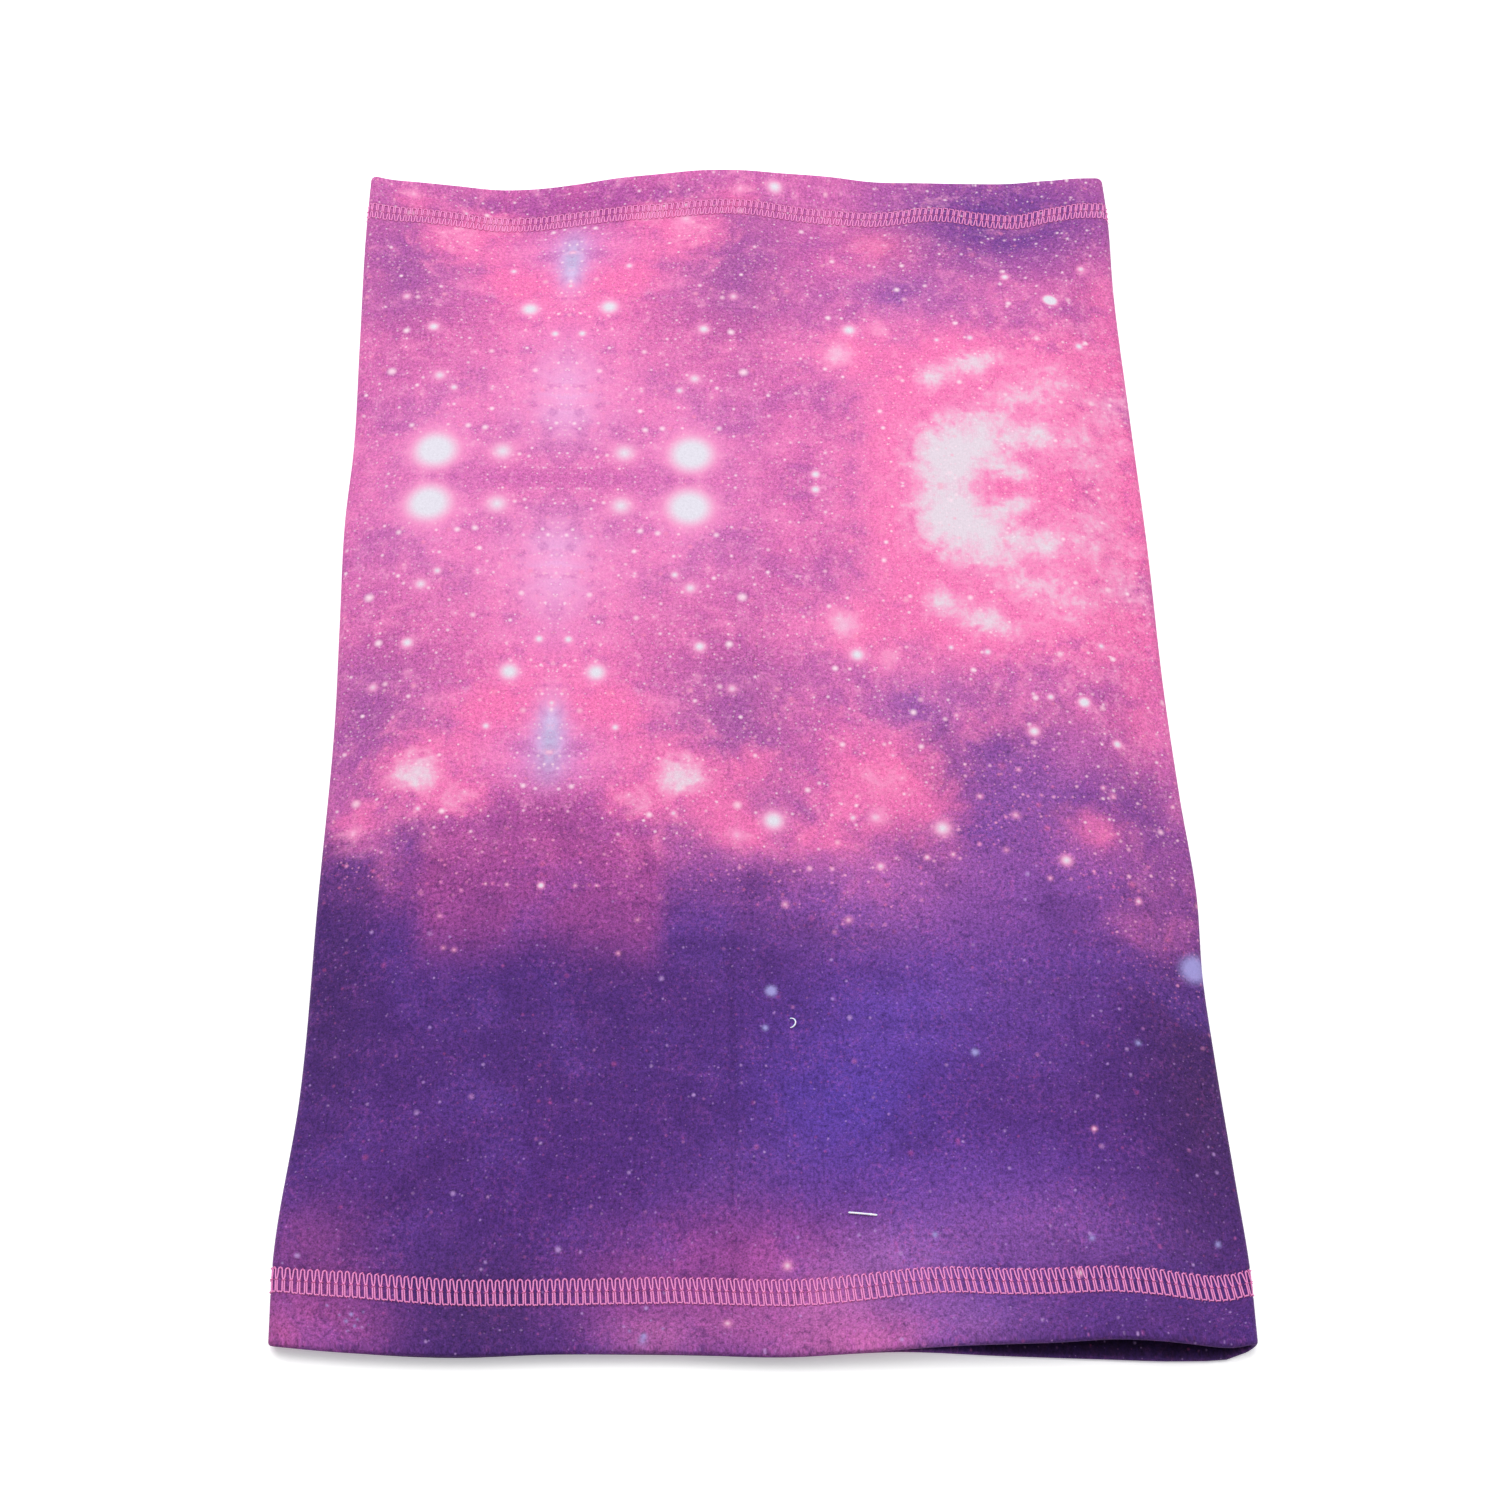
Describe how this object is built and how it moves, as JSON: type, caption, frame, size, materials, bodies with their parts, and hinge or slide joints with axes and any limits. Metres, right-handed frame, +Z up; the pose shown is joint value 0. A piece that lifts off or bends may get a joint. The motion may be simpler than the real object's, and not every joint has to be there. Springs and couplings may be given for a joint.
{
  "type": "neck gaiter",
  "caption": "Seamed stretch-knit tube for neck and face, laid flat, with both mouths turned in and coverstitched and a mirrored nebula print.",
  "frame": {"origin": "centre of the laid tube's outline, on the surface that it lies on", "axes": "+X across the tube to the right fold, +Y along it to the upper mouth, +Z up out of the front layer"},
  "size_m": [0.25, 0.41, 0.0116],
  "materials": {
    "printed_knit": "brushed matte knit, printed",
    "pink_sewing_thread": "textured polyester thread, slight sheen",
    "clear_nylon": "moulded, semi-gloss"
  },
  "bodies": {
    "root": {"tube_panel": "printed_knit", "upper_hem_looper_thread": "pink_sewing_thread", "upper_hem_needle_thread_1": "pink_sewing_thread", "upper_hem_needle_thread_2": "pink_sewing_thread", "upper_hem_needle_thread_3": "pink_sewing_thread", "lower_hem_looper_thread": "pink_sewing_thread", "lower_hem_needle_thread_1": "pink_sewing_thread", "lower_hem_needle_thread_2": "pink_sewing_thread", "lower_hem_needle_thread_3": "pink_sewing_thread", "back_seam_needle_thread": "pink_sewing_thread", "back_seam_upper_looper_thread": "pink_sewing_thread", "back_seam_lower_looper_thread": "pink_sewing_thread", "tag_pin_bar": "clear_nylon", "tag_pin_filament": "clear_nylon"}
  },
  "joints": []
}
